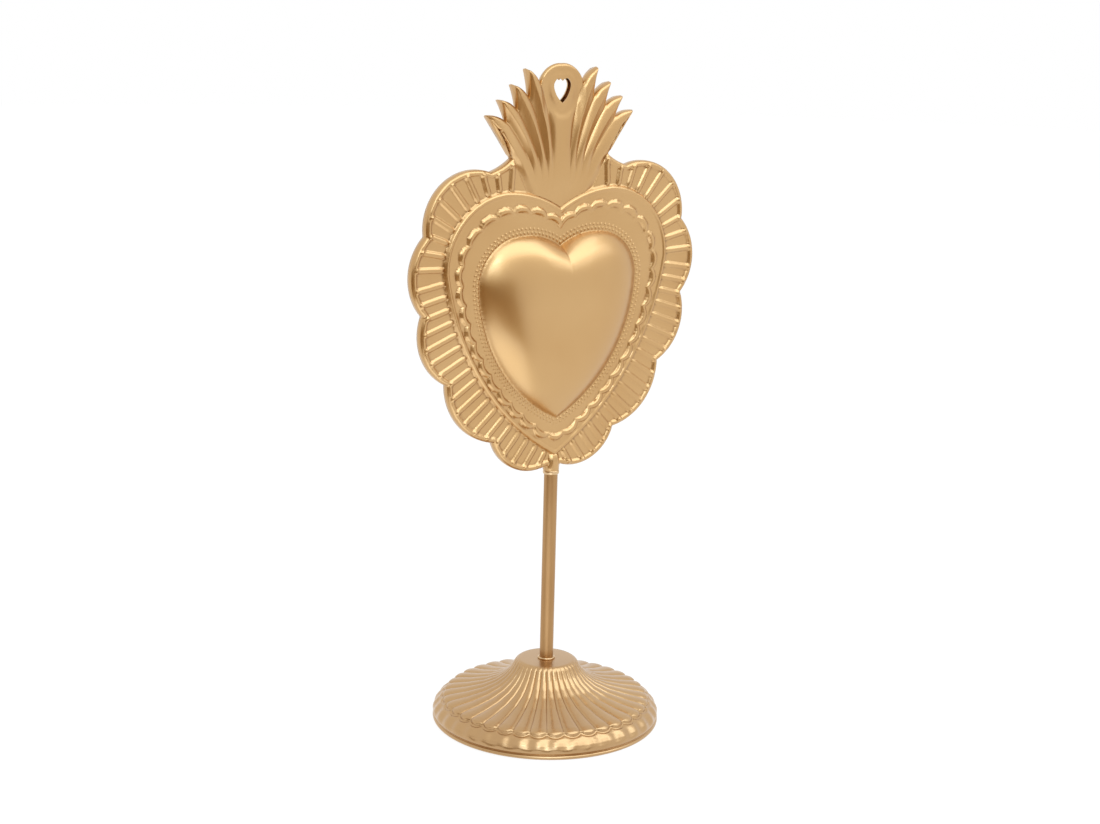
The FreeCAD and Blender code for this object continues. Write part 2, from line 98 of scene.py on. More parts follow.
VALLEYS = placed(
    (0.342, 0.778),
    (0.477, 0.750),
    (0.906, 0.606),
    (0.919, 0.417),
    (0.758, 0.244),
    (0.435, 0.087),
    (0.050, 0.0085),
)
SCALLOP_RISES = [-0.05, 0.28, 0.197, 0.187, 0.183, 0.214]
TIPS = placed((0.516, 0.883), (0.431, 0.919), (0.341, 0.954), (0.247, 0.990))
NOTCHES = placed((0.383, 0.868), (0.311, 0.896), (0.228, 0.921), (0.150, 0.952))
FLAME_RISES = [-0.07, -0.035, -0.035, -0.035]
NOTCH_RISE = 0.10
RING_RISE = 0.20
RING_TOP = placed((0.0, 1.0))[0]
BORDER = placed(
    (0.0, 0.647),
    (0.174, 0.681),
    (0.375, 0.694),
    (0.654, 0.641),
    (0.772, 0.516),
    (0.575, 0.281),
    (0.0, 0.042),
)
DOME = placed(
    (0.0, 0.562),
    (0.120, 0.586),
    (0.275, 0.592),
    (0.470, 0.557),
    (0.552, 0.483),
    (0.405, 0.278),
    (0.0, 0.131),
)
HOLE = placed(
    (0.0, 0.959),
    (0.022, 0.9645),
    (0.035, 0.9645),
    (0.055, 0.957),
    (0.061, 0.945),
    (0.038, 0.922),
    (0.0, 0.906),
)


def heart_line(points, count=ARC_POINTS):
    """Right half of a heart, three arcs through seven points."""
    a, b, c, d, e, f, g = points
    return chain_of_arcs([(a, b, c), (c, d, e), (e, f, g)], count)


def flame_arcs():
    """Right half of the crown's edge as arcs, from the corner over the rim up to the ring's top."""
    here, pieces = VALLEYS[0], []
    for tip, notch, rise in zip(TIPS, NOTCHES, FLAME_RISES):
        pieces.append((here, risen(here, tip, rise), tip))
        pieces.append((tip, risen(tip, notch, NOTCH_RISE), notch))
        here = notch
    return pieces + [(here, risen(here, RING_TOP, RING_RISE), RING_TOP)]


RIM_LINE = chain_of_arcs(
    [(a, risen(a, b, -rise), b) for a, b, rise in zip(VALLEYS, VALLEYS[1:], SCALLOP_RISES)],
    ARC_POINTS,
)
RIM_TOP = [[x, VALLEYS[0][1]] for x in (0.0, 8.0, 16.0)]
OPEN_SHIELD = np.concatenate([RIM_TOP, RIM_LINE])
SHIELD = np.concatenate([OPEN_SHIELD, [[0.0, RIM_LINE[-1][1]]]])
BORDER_LINE = heart_line(BORDER)
DOME_LINE = heart_line(DOME)


def polar(line, angles):
    """Distance from the plate's centre to a half line, at angles from straight up to straight down."""
    turn = np.arctan2(line[:, 0], line[:, 1] - CENTRE_Z)
    reach = np.hypot(line[:, 0], line[:, 1] - CENTRE_Z)
    order = np.argsort(turn, kind="stable")
    return np.interp(angles, turn[order], reach[order])


def slant(angles, reach):
    """How much longer a step along the ray is than the same step square to the line."""
    slope = np.gradient(reach, angles) / reach
    return np.minimum(np.sqrt(1 + slope * slope), 1.5)


def nearest(x, z, line):
    """Distance of points to a line of short runs, and how far along it the nearest place is."""
    best = np.full(x.shape, 1e9)
    along = np.zeros(x.shape)
    walked = 0.0
    for (ax, az), (bx, bz) in zip(line, line[1:]):
        dx, dz = bx - ax, bz - az
        length = math.hypot(dx, dz)
        if length < 1e-9:
            continue
        share = np.clip(((x - ax) * dx + (z - az) * dz) / (length * length), 0, 1)
        gap = np.hypot(x - ax - share * dx, z - az - share * dz)
        closer = gap < best
        best = np.where(closer, gap, best)
        along = np.where(closer, walked + share * length, along)
        walked += length
    return best, along


def crossing(start, way, line):
    """How far from start a ray first meets a line, or None."""
    best = None
    for a, b in zip(line, line[1:]):
        run = b - a
        cross = way[0] * run[1] - way[1] * run[0]
        if abs(cross) < 1e-9:
            continue
        gap = a - start
        along = (gap[0] * run[1] - gap[1] * run[0]) / cross
        share = (gap[0] * way[1] - gap[1] * way[0]) / cross
        if 0 <= share <= 1 and along > 0 and (best is None or along < best):
            best = along
    return best


def ease(values, low, high):
    """Smooth share from 0 at low to 1 at high."""
    share = np.clip((values - low) / (high - low), 0, 1)
    return share * share * (3 - 2 * share)


def hump(gap, half_width):
    """Round-topped ridge over a line, one high at the line and nothing past its half width."""
    share = np.clip(1 - (gap / half_width) ** 2, 0, 1)
    return share ** 0.75


# Relief of the pressed shield

SEAM = 0.01
FIELD, PLATEAU, UNDER_CROWN = 1.8, 2.7, 1.15
DOME_HEIGHT = 11.4
DOME_SIZES = [0.0, 0.10, 0.22, 0.34, 0.46, 0.56, 0.66, 0.74, 0.81, 0.87, 0.92, 0.955, 0.985, 1.0]
DOME_RISES = [1.0, 1.0, 0.99, 0.965, 0.915, 0.85, 0.757, 0.66, 0.55, 0.43, 0.305, 0.20, 0.085, 0.0]
RIM_GAPS = [0, 0.10, 0.28, 0.6, 1.1, 1.6, 2.1, 2.6, 3.0, 3.5]
RIM_DEPTHS = [0, 1.15, 1.75, 2.3, 2.62, 2.68, 2.5, 2.05, 1.7, 1.8]
BEAD_RISE, BEAD_HALF_WIDTH = 1.75, 1.50
RIB_PITCH, RIB_START, RIB_END = 5.4, 2.8, 3.0
RIB_RISE, RIB_HALF_WIDTH = 0.85, 1.40
CHAIN_SHARE = 0.43
LINK_LENGTH, LINK_RISE, LINK_STEPS = 8.8, -0.24, 6
CRESCENT_RISE = 1.22
DOT_PITCH, DOT_RISE, DOT_RADIUS = 1.9, 0.36, 0.62
DOT_ROWS = ((1.3, 0.0), (2.9, 0.5))


def rib_runs():
    """Start and end of each rib on the right half, clear of the crown and of the stem."""
    line = heart_line(BORDER, 240)
    runs, walked = [], 0.0
    for a, b in zip(line, line[1:]):
        run = b - a
        length = float(np.hypot(*run))
        walked += length
        if walked < RIB_PITCH:
            continue
        walked = 0.0
        normal = np.array([-run[1], run[0]]) / length
        reach = crossing(b, normal, OPEN_SHIELD)
        if reach is None:
            continue
        start = b + normal * RIB_START
        end = b + normal * (reach - RIB_END)
        clear_of_crown = start[0] > 18.5 and end[0] > 19.5
        clear_of_stem = end[0] > 7.7 and start[1] < 237.0
        if clear_of_crown or clear_of_stem:
            runs.append((start, end))
    return runs


def chain_line():
    """Row of small outward arcs that follows the border on the plateau, with one across the lower tip."""
    angles = np.linspace(0, math.pi, 400)
    border, dome = polar(BORDER_LINE, angles), polar(DOME_LINE, angles)
    reach = border + (dome - border) * CHAIN_SHARE
    line = np.stack([reach * np.sin(angles), CENTRE_Z + reach * np.cos(angles)], axis=1)
    walked = walked_along(line)
    count = round(walked[-1] / LINK_LENGTH)
    stops = np.arange(count + 1) * walked[-1] / (count + 0.5)
    ends = np.stack([np.interp(stops, walked, line[:, 0]), np.interp(stops, walked, line[:, 1])], axis=1)
    ends = np.concatenate([ends, [[-ends[-1][0], ends[-1][1]]]])
    return chain_of_arcs([(a, risen(a, b, LINK_RISE), b) for a, b in zip(ends, ends[1:])], LINK_STEPS)


def sheet_relief(side, z, inside, border_gap):
    """Plain field and plateau with the rolled rim, the bead of the border and the ribs."""
    level = np.where(inside, PLATEAU, FIELD)
    level = level - np.where(inside, 0, 0.10 * hump(border_gap - 2.0, 1.4))
    rim_gap, _ = nearest(side, z, RIM_LINE)
    level = np.where(rim_gap < RIM_GAPS[-1], np.interp(rim_gap, RIM_GAPS, RIM_DEPTHS), level)
    level = np.maximum(level, FIELD - 0.3 + BEAD_RISE * hump(border_gap, BEAD_HALF_WIDTH))
    for run in rib_runs():
        gap, _ = nearest(side, z, run)
        level = level + RIB_RISE * hump(gap, RIB_HALF_WIDTH) - 0.10 * hump(np.abs(gap - 1.8), 0.6)
    return level


def chain_relief(side, z):
    """Crescents of the chain, widest in the middle of each arc, with a shallow trough on both sides."""
    chain = chain_line()
    gap, along = nearest(side, z, chain)
    link_ends = walked_along(chain)[::LINK_STEPS]
    middle = np.sin(math.pi * (np.interp(along, link_ends, np.arange(len(link_ends))) % 1.0))
    crescent = (0.42 + 0.58 * middle) * hump(gap, 0.80 + 0.80 * middle)
    return CRESCENT_RISE * crescent - 0.14 * hump(np.abs(gap - 1.9), 0.7)


def dot_relief(gap, along):
    """Two rows of dots round the dome, half a step apart, and the crease at the dome's foot."""
    level = -0.12 * hump(gap, 0.9)
    for row, shift in DOT_ROWS:
        beat = np.abs(((along / DOT_PITCH + shift) % 1.0) - 0.5) * DOT_PITCH
        level = level + DOT_RISE * hump(np.hypot(gap - row, beat), DOT_RADIUS)
    return level


def soft_dome(angles, window, passes):
    """The dome's reach with its notch and tip rounded away, for the even crown of its middle."""
    around = np.linspace(-math.pi, 2 * math.pi, 900)
    folded = np.abs(np.where(around > math.pi, 2 * math.pi - around, around))
    reach = polar(DOME_LINE, folded)
    for _ in range(passes):
        padded = np.pad(reach, window // 2, mode="edge")
        reach = np.convolve(padded, np.ones(window) / window, mode="valid")
    return np.interp(angles, around, reach)


def dome_relief(angles, reach, dome_reach):
    """Rise of the dome: true to its outline at the edge, softer halfway and softest in the middle."""
    share = np.clip(reach / dome_reach, 0, 1)
    halfway, outer = ease(share, 0.50, 0.90), ease(share, 0.84, 1.0)
    soft_reach = soft_dome(angles, 81, 4) * (1 - halfway) + soft_dome(angles, 35, 3) * halfway
    share = np.clip(reach / (dome_reach * outer + soft_reach * (1 - outer)), 0, 1)
    return DOME_HEIGHT * np.interp(share, DOME_SIZES, DOME_RISES)


def crown_side_gap(side, z):
    """How far points lie within the crown's slanting side, where it stands on the shield."""
    return 17.5 + (z - 244.0) * 0.50 - side


def shield_relief(x, z):
    """Depth of the sheet's face in front of the parting plane."""
    side = np.abs(x)
    angles = np.arctan2(side, z - CENTRE_Z)
    reach = np.hypot(side, z - CENTRE_Z)
    inside = reach < polar(BORDER_LINE, angles)
    dome_reach = polar(DOME_LINE, angles)
    border_gap, _ = nearest(side, z, BORDER_LINE[::3])
    dome_gap, dome_along = nearest(side, z, DOME_LINE[::2])
    level = sheet_relief(side, z, inside, border_gap)
    level = level + np.where(inside, chain_relief(side, z), 0)
    level = level + np.where(reach > dome_reach, dot_relief(dome_gap, dome_along), 0)
    level = level + dome_relief(angles, reach, dome_reach)
    covered = ease(border_gap, 1.3, 2.6) * ease(crown_side_gap(side, z), 0.3, 1.9)
    covered = np.where(inside, 0, covered)
    return level * (1 - covered) + UNDER_CROWN * covered


# Meshes

WELD = 2e-6
HOLLOW_DEPTH = 0.9 * MM


def linked(name, data):
    """New object of the scene that shows a mesh, a lamp or a camera."""
    made = bpy.data.objects.new(name, data)
    bpy.context.scene.collection.objects.link(made)
    return made


def mesh_object(bm, name):
    """New object made of a bmesh, which is used up."""
    mesh = bpy.data.meshes.new(name)
    bm.to_mesh(mesh)
    bm.free()
    return linked(name, mesh)


def add_grid(bm, positions):
    """Adds a grid of quads whose corners are at positions[row, column]."""
    rows, columns = positions.shape[0] - 1, positions.shape[1] - 1
    made = bmesh.ops.create_grid(bm, x_segments=columns, y_segments=rows, size=1.0)
    for vert in made["verts"]:
        column = round((vert.co.x + 1) / 2 * columns)
        row = round((vert.co.y + 1) / 2 * rows)
        vert.co = positions[row, column]


def two_faces(outer, inner, front):
    """Bmesh of a sheet's outer and inner face, each as x, z and depth, that looks to the front or back."""
    way = -1 if front else 1
    bm = bmesh.new()
    for x, z, depth in (outer, inner):
        add_grid(bm, np.stack([x, way * depth, z], axis=2) * MM)
    return bm


def finished(bm, name, material, smooth_angle=50):
    """Welds, turns outward and smooths a bmesh, and makes it a piece that rides with the object."""
    bmesh.ops.remove_doubles(bm, verts=bm.verts, dist=WELD)
    bmesh.ops.dissolve_degenerate(bm, edges=bm.edges, dist=1e-7)
    bmesh.ops.recalc_face_normals(bm, faces=bm.faces)
    limit = math.radians(smooth_angle)
    for face in bm.faces:
        face.smooth = True
    for edge in bm.edges:
        edge.smooth = len(edge.link_faces) != 2 or edge.calc_face_angle(0.0) < limit
    piece = mesh_object(bm, name)
    piece.data.materials.append(material)
    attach(piece, "root")
    return piece


def hollows(piece, passes):
    """Stores how far each point lies below its surroundings, for painted shade in the recesses."""
    mesh = piece.data
    count = len(mesh.vertices)
    co = np.zeros(count * 3)
    mesh.vertices.foreach_get("co", co)
    co = co.reshape(-1, 3)
    normal = np.zeros(count * 3)
    mesh.vertices.foreach_get("normal", normal)
    normal = normal.reshape(-1, 3)
    ends = np.zeros(len(mesh.edges) * 2, dtype=np.int64)
    mesh.edges.foreach_get("vertices", ends)
    a, b = ends.reshape(-1, 2).T
    degree = np.bincount(a, minlength=count) + np.bincount(b, minlength=count)
    level = co.copy()
    for _ in range(passes):
        summed = np.zeros_like(level)
        for axis in range(3):
            summed[:, axis] = np.bincount(a, level[b, axis], count) + np.bincount(b, level[a, axis], count)
        level = 0.3 * level + 0.7 * summed / np.maximum(degree, 1)[:, None]
    depth = ((level - co) * normal).sum(axis=1) / HOLLOW_DEPTH
    store = mesh.attributes.new("hollow", "FLOAT", "POINT")
    store.data.foreach_set("value", np.clip(depth, -1, 1).astype(np.float32))


# Materials


class Graph:
    """A material's nodes. Inputs are named as in Blender, or i0, i1 and so on by their place."""

    def __init__(self, name):
        self.material = bpy.data.materials.new(name)
        self.material.use_nodes = True
        self.tree = self.material.node_tree
        self.shader = self.tree.nodes["Principled BSDF"]

    def fill(self, socket, value):
        if isinstance(value, Value):
            self.tree.links.new(value.socket, socket)
        else:
            socket.default_value = value

    def node(self, kind, settings=None, output=0, **inputs):
        made = self.tree.nodes.new(kind)
        for key, value in (settings or {}).items():
            setattr(made, key, value)
        for key, value in inputs.items():
            place = int(key[1:]) if key[1:].isdigit() else key.replace("_", " ")
            self.fill(made.inputs[place], value)
        return Value(self, made.outputs[output])

    def noise(self, scale, detail, roughness=0.5, stretch=(1, 1, 1)):
        place = self.node("ShaderNodeTexCoord", output="Object")
        spot = self.node("ShaderNodeMapping", Vector=place, Scale=stretch)
        return self.node("ShaderNodeTexNoise", Vector=spot, Scale=scale, Detail=detail, Roughness=roughness)

    def mix(self, share, first, second):
        """Colour between two colours, each a link or four numbers."""
        return self.node("ShaderNodeMix", {"data_type": "RGBA"}, output=2, i0=share, i6=first, i7=second)

    def bump(self, height, distance, strength, **below):
        return self.node("ShaderNodeBump", Height=height, Distance=distance, Strength=strength, **below)

    def feed(self, **inputs):
        for key, value in inputs.items():
            self.fill(self.shader.inputs[key.replace("_", " ")], value)
        return self.material


class Value:
    """One output socket with arithmetic."""

    def __init__(self, graph, socket):
        self.graph, self.socket = graph, socket

    def maths(self, operation, other):
        return self.graph.node("ShaderNodeMath", {"operation": operation}, i0=self, i1=other)

    def __add__(self, other):
        return self.maths("ADD", other)

    def __radd__(self, other):
        return self.maths("ADD", other)

    def __sub__(self, other):
        return self.maths("SUBTRACT", other)

    def __mul__(self, other):
        return self.maths("MULTIPLY", other)

    def between(self, low, high):
        """This value from low to high, as a smooth share from 0 to 1."""
        smooth = {"interpolation_type": "SMOOTHSTEP"}
        return self.graph.node("ShaderNodeMapRange", smooth, Value=self, From_Min=low, From_Max=high)


def gold(name, base, deep, pale, roughness, coat, use_hollow=True):
    """Satin gold lacquer over tin: soft random mottling, painted shade in the recesses and a fine grain."""
    graph = Graph(name)
    cloud = graph.noise(scale=24.0, detail=2.0, roughness=0.45)
    speck = graph.noise(scale=900.0, detail=3.0, roughness=0.6)
    colour = graph.mix(cloud.between(0.30, 0.70), base, pale)
    # shade starts as random mottling from the cloud noise, the gold's own uneven tone
    shade = cloud.between(0.62, 0.30) * 0.10
    # Painted shade: the further a point lies below its surroundings (hollow attribute), the more of the
    # deep colour is mixed in
    if use_hollow:
        hollow = graph.node("ShaderNodeAttribute", {"attribute_name": "hollow"}, output="Fac")
        shade = shade + hollow.between(0.06, 0.60) * 0.42
    colour = graph.mix(shade.between(0.0, 1.0), colour, deep)
    rough = roughness + cloud * 0.05 + speck * 0.06 - 0.08
    ripples = graph.bump(cloud, distance=0.00012, strength=0.25)
    surface = graph.bump(speck, distance=0.000012, strength=0.7, Normal=ripples)
    graph.feed(Coat_Weight=coat, Coat_Roughness=0.20, Coat_IOR=1.7)
    return graph.feed(Base_Color=colour, Metallic=1.0, Roughness=rough, Normal=surface)


def plain_metal(name, base, deep, roughness):
    """Bare or zinc-plated steel with faint brushing."""
    graph = Graph(name)
    cloud = graph.noise(scale=120.0, detail=4.0, roughness=0.6)
    brush = graph.noise(scale=260.0, detail=3.0, roughness=0.6, stretch=(1.0, 1.0, 14.0))
    colour = graph.mix(cloud.between(0.38, 0.68), base, deep)
    rough = roughness + cloud * 0.12 + brush * 0.06
    surface = graph.bump(brush, distance=0.00001, strength=0.6)
    return graph.feed(Base_Color=colour, Metallic=1.0, Roughness=rough, Normal=surface)


def felt_cloth(name):
    """Near-black pressed felt."""
    graph = Graph(name)
    fuzz = graph.noise(scale=1400.0, detail=5.0, roughness=0.7)
    patch = graph.noise(scale=90.0, detail=3.0, roughness=0.5)
    colour = graph.mix(fuzz.between(0.3, 0.7), (0.020, 0.020, 0.022, 1), (0.052, 0.051, 0.054, 1))
    surface = graph.bump(fuzz * 0.7 + patch * 0.6, distance=0.00022, strength=0.9)
    return graph.feed(Base_Color=colour, Roughness=0.97, Sheen_Weight=0.35, Normal=surface)


# In each gold, deep is the dark of the random mottling and the colour of the painted shade in the recesses
HEART_GOLD = gold(
    "heart_gold",
    base=(0.565, 0.330, 0.124, 1),
    deep=(0.28, 0.132, 0.040, 1),
    pale=(0.600, 0.365, 0.148, 1),
    roughness=0.35,
    coat=0.45,
)
FOOT_GOLD = gold(
    "foot_gold",
    base=(0.495, 0.298, 0.128, 1),
    deep=(0.27, 0.135, 0.048, 1),
    pale=(0.530, 0.330, 0.148, 1),
    roughness=0.33,
    coat=0.40,
)
STEM_GOLD = gold(
    "stem_gold",
    base=(0.420, 0.235, 0.095, 1),
    deep=(0.28, 0.140, 0.050, 1),
    pale=(0.465, 0.270, 0.115, 1),
    roughness=0.38,
    coat=0.1,
    use_hollow=False,
)
SOLDER = gold(
    "solder_gold",
    base=(0.62, 0.405, 0.195, 1),
    deep=(0.30, 0.155, 0.060, 1),
    pale=(0.70, 0.490, 0.265, 1),
    roughness=0.26,
    coat=0.6,
)
FLOOR_STEEL = plain_metal("floor_steel", (0.42, 0.42, 0.43, 1), (0.30, 0.30, 0.31, 1), 0.42)
ZINC_STEEL = plain_metal("zinc_steel", (0.58, 0.59, 0.60, 1), (0.44, 0.45, 0.47, 1), 0.30)
FELT = felt_cloth("black_felt")


# Heart shells

HALF_COLUMNS = 540
EDGE_STEPS = (0, 0.10, 0.28, 0.6, 1.1, 1.6, 2.1, 2.6, 3.1)
BEAD_STEPS = (1.3, 0.9, 0.45, 0, -0.45, -0.9, -1.3, -1.8)
DOT_STEPS = (3.6, 3.25, 2.9, 2.55, 2.2, 1.85, 1.5, 1.15, 0.8, 0.45, 0.15)
INNER_DOME = ((0.87, 0.43), (0.66, 0.757), (0.34, 0.965), (0.0, 1.0))


def shield_columns():
    """Angles of the columns on the right half, even along the border."""
    turn = np.arctan2(BORDER_LINE[:, 0], BORDER_LINE[:, 1] - CENTRE_Z)
    walked = walked_along(BORDER_LINE)
    half = np.interp(np.linspace(0, walked[-1], HALF_COLUMNS + 1), walked, turn)
    half[0], half[-1] = 0.0, math.pi
    return half


def blend_rows(first, last, count):
    """Rows between two rows, the first left out and the last kept."""
    return [first + (last - first) * k / count for k in range(1, count + 1)]


def shield_rows(half):
    """Distances from the centre for each row of the outer face, from the edge to the middle."""
    edge, border, dome = polar(SHIELD, half), polar(BORDER_LINE, half), polar(DOME_LINE, half)
    edge_slant, border_slant, dome_slant = slant(half, edge), slant(half, border), slant(half, dome)
    rows = [edge - gap * edge_slant for gap in EDGE_STEPS]
    rows += blend_rows(rows[-1], border + 1.9 * border_slant, 10)
    rows += [border + gap * border_slant for gap in BEAD_STEPS]
    rows += blend_rows(rows[-1], dome + 4.0 * dome_slant, 16)
    rows += [dome + gap * dome_slant for gap in DOT_STEPS]
    rows += [dome * share for share in reversed(DOME_SIZES)]
    return rows


def shield_shell(front):
    """One pressed half: embossed outer face, plainer inner face under it, joined at the edge."""
    half = shield_columns()
    angles = np.concatenate([half, 2 * math.pi - half[-2::-1]])
    folded = np.minimum(angles, 2 * math.pi - angles)

    def on_plate(rows):
        reach = np.array([np.interp(folded, half, row) for row in rows])
        return reach * np.sin(angles), CENTRE_Z + reach * np.cos(angles)

    x, z = on_plate(shield_rows(half))
    depth = shield_relief(x, z)
    depth[0] = SEAM

    edge, dome = polar(SHIELD, half), polar(DOME_LINE, half)
    inner = [(edge, SEAM), (edge - 0.9, SEAM * 2), (edge - 1.8, 1.0), (dome * 1.02, 1.2)]
    inner += [(dome * size, 1.2 + DOME_HEIGHT * rise * 0.96) for size, rise in INNER_DOME]
    inner_x, inner_z = on_plate([row for row, _ in inner])
    inner_depth = np.repeat([[level] for _, level in inner], len(angles), axis=1)
    inner_depth = np.where(inner_z > 240, np.minimum(inner_depth, 0.7), inner_depth)
    under_face = np.minimum(inner_depth, shield_relief(inner_x, inner_z) - 0.55)
    inner_depth[3:] = np.maximum(under_face[3:], SEAM)

    side = "front" if front else "back"
    bm = two_faces((x, z, depth), (inner_x, inner_z, inner_depth), front)
    piece = finished(bm, f"heart_{side}_relief", HEART_GOLD)
    hollows(piece, passes=7)
    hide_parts(f"heart_{side}_shell")


# Crown

ROOT_GAP = 1.1
ROOTS_AND_BENDS = [
    (17.5, 1.2),
    (14.8, 1.5),
    (12.8, 1.9),
    (11.0, 1.9),
    (9.4, 2.0),
    (8.0, 2.1),
    (6.7, 2.3),
    (5.5, 2.4),
    (4.3, 3.4),
    (0.0, 3.0),
]
SIDE_STEPS = (0.0, 0.04, 0.10, 0.18, 0.30, 0.44, 0.58, 0.72, 0.86)
FLAME_COLUMNS, RING_COLUMNS = 9, 15
FOOT_ROWS = [0, 0.01, 0.02, 0.035]
TIP_ROWS = [0.915, 0.93, 0.948, 0.962, 0.974, 0.984, 0.992, 1.0]
CROWN_ROWS = np.concatenate([FOOT_ROWS, np.linspace(0.05, 0.90, 44), TIP_ROWS])
WALL_GAPS = [0, 0.08, 0.3, 0.8, 1.4]
WALL_SHARES = [0.0, 0.55, 0.8, 0.94, 1.0]


def crown_columns():
    """Top, root, bend and crease of each column on the right half, from the side to the middle."""
    columns = []
    arcs = flame_arcs()
    for number, piece in enumerate(arcs):
        (root, bend), (next_root, next_bend) = ROOTS_AND_BENDS[number : number + 2]
        side, ring = number == 0, number == len(arcs) - 1
        count = RING_COLUMNS if ring else FLAME_COLUMNS
        steps = SIDE_STEPS if side else np.arange(count) / count
        tops = [TIPS[0]] * count if side else arc(*piece, count)
        crease = 1 if number % 2 else -1
        for step, top in zip(steps, tops):
            fold = crease * (1 - 2 * step)
            if ring:
                fold = -1.0 + 1.3 * math.sin(math.pi / 2 * min(1.0, 1.6 * step))
            columns.append((top, root + (next_root - root) * step, bend + (next_bend - bend) * step, fold))
    columns.append((RING_TOP, 0.0, 3.0, 0.3))
    return columns


def crown_grid():
    """Places of the crown's points in x and z, and the crease of each."""
    half = crown_columns()
    columns = [(1, column) for column in half] + [(-1, column) for column in half[-2::-1]]
    lobe = BORDER_LINE[: ARC_POINTS + 1]
    x = np.zeros((len(CROWN_ROWS), len(columns)))
    z = np.zeros_like(x)
    crease = np.zeros_like(x)
    for number, (way, (top, root, bend, fold)) in enumerate(columns):
        root_z = np.interp(root, lobe[:, 0], lobe[:, 1]) + ROOT_GAP
        x[:, number] = way * (root + (top[0] - root) * CROWN_ROWS ** bend)
        z[:, number] = root_z + (top[1] - root_z) * CROWN_ROWS
        crease[:, number] = fold
    return x, z, crease


def crown_relief(x, z, crease):
    """Depth of the crown's face: creased flames, a thinner ring, and a raised edge round the hole."""
    side = np.abs(x)
    share = CROWN_ROWS[:, None]
    thin_ring = ease(z, 272.0, 290.0) * (1 - ease(side, 8.5, 12.0))
    level = (2.15 + 0.45 * ease(share, 0.0, 0.22)) * (1 - 0.42 * thin_ring)
    level = level + crease * (0.86 - 0.5 * thin_ring) * ease(share, 0.12, 0.70)
    on_shield = 1 - ease(z, 257.0, 262.0)
    level = level - on_shield * (1 - ease(crown_side_gap(side, z), 0.1, 5.5)) * 0.95
    edge_gap, _ = nearest(side, z, chain_of_arcs(flame_arcs(), 16))
    free = ease(z, 259.4, 260.6)
    level = level * (1 - free + free * np.interp(edge_gap, WALL_GAPS, WALL_SHARES))
    hole_gap, _ = nearest(side, z, heart_line(HOLE, 10))
    below_hole = 1 - ease(z, 284.0, 292.0)
    level = level + 0.26 * hump(np.abs(hole_gap - 1.0), 1.5)
    return level - 0.28 * below_hole * hump(np.abs(hole_gap - 4.4), 1.9)


def crown_shell(front):
    """Fan of creased flames with the hanging ring, closed at its edge, with the hole cut through."""
    x, z, crease = crown_grid()
    outer = crown_relief(x, z, crease)
    inner = np.maximum(outer - 0.65, SEAM)
    for depth in (outer, inner):
        depth[0] = depth[-1] = SEAM
        depth[:, 0] = depth[:, -1] = SEAM
    side = "front" if front else "back"
    bm = two_faces((x, z, outer), (x, z, inner), front)
    piece = finished(bm, f"crown_{side}", HEART_GOLD, smooth_angle=60)
    cut_hole(piece)
    hollows(piece, passes=5)


def cut_hole(piece):
    """Cuts the heart-shaped hanging hole through a crown piece."""
    bm = bmesh.new()
    half = heart_line(HOLE, 14)
    line = [(px, pz) for px, pz in half] + [(-px, pz) for px, pz in half[-2:0:-1]]
    face = bm.faces.new([bm.verts.new((px * MM, -8 * MM, pz * MM)) for px, pz in line])
    grown = bmesh.ops.extrude_face_region(bm, geom=[face])
    moved = [item for item in grown["geom"] if isinstance(item, bmesh.types.BMVert)]
    bmesh.ops.translate(bm, verts=moved, vec=(0, 16 * MM, 0))
    bmesh.ops.recalc_face_normals(bm, faces=bm.faces)
    cutter = mesh_object(bm, "hole_cutter")
    cutter_mesh = cutter.data
    cut = piece.modifiers.new("hole", "BOOLEAN")
    cut.operation = "DIFFERENCE"
    cut.solver = "EXACT"
    cut.object = cutter
    bpy.context.view_layer.update()
    done = bpy.data.meshes.new_from_object(piece.evaluated_get(bpy.context.evaluated_depsgraph_get()))
    piece.modifiers.remove(cut)
    piece.data = done
    bpy.data.objects.remove(cutter)
    bpy.data.meshes.remove(cutter_mesh)


# Turned pieces


def bearings(segments):
    """Angles round the stem's axis, with the first one again as the last."""
    return np.linspace(0, 2 * math.pi, segments + 1)


def lathe(profile, name, material, segments, smooth_angle, shift=(0, 0)):
    """Closed ring of a profile of (radius, height) in millimetres, spun about the stem's axis.

    The shift moves its points outward and up, by row of the profile and by angle.
    """
    profile = np.array(profile, float)
    angles = bearings(segments)
    radius = profile[:, :1] * np.ones_like(angles) + shift[0]
    height = profile[:, 1:] * np.ones_like(angles) + shift[1]
    bm = bmesh.new()
    add_grid(bm, np.stack([radius * np.cos(angles), radius * np.sin(angles), height], axis=2) * MM)
    return finished(bm, name, material, smooth_angle=smooth_angle)


def rounded_line(points, count, passes):
    """Points resampled evenly along a smooth line through the given ones."""
    points = np.array(points, float)
    walked = walked_along(points)
    dense = np.linspace(0, walked[-1], 400)
    line = np.stack([np.interp(dense, walked, points[:, k]) for k in (0, 1)], axis=1)
    for _ in range(passes):
        line[1:-1] = 0.25 * line[:-2] + 0.5 * line[1:-1] + 0.25 * line[2:]
    walked = walked_along(line)
    stops = np.linspace(0, walked[-1], count)
    return np.stack([np.interp(stops, walked, line[:, k]) for k in (0, 1)], axis=1)


def swells(rows, angles, scale, start, step):
    """Soft noise by row and by angle, which meets itself after a full turn."""
    spots = [(math.cos(angle) * scale, math.sin(angle) * scale) for angle in angles[:-1]]
    values = [[noise.noise(Vector((*spot, start + row * step))) for spot in spots] for row in range(rows)]
    values = np.array(values)
    return np.concatenate([values, values[:, :1]], axis=1)


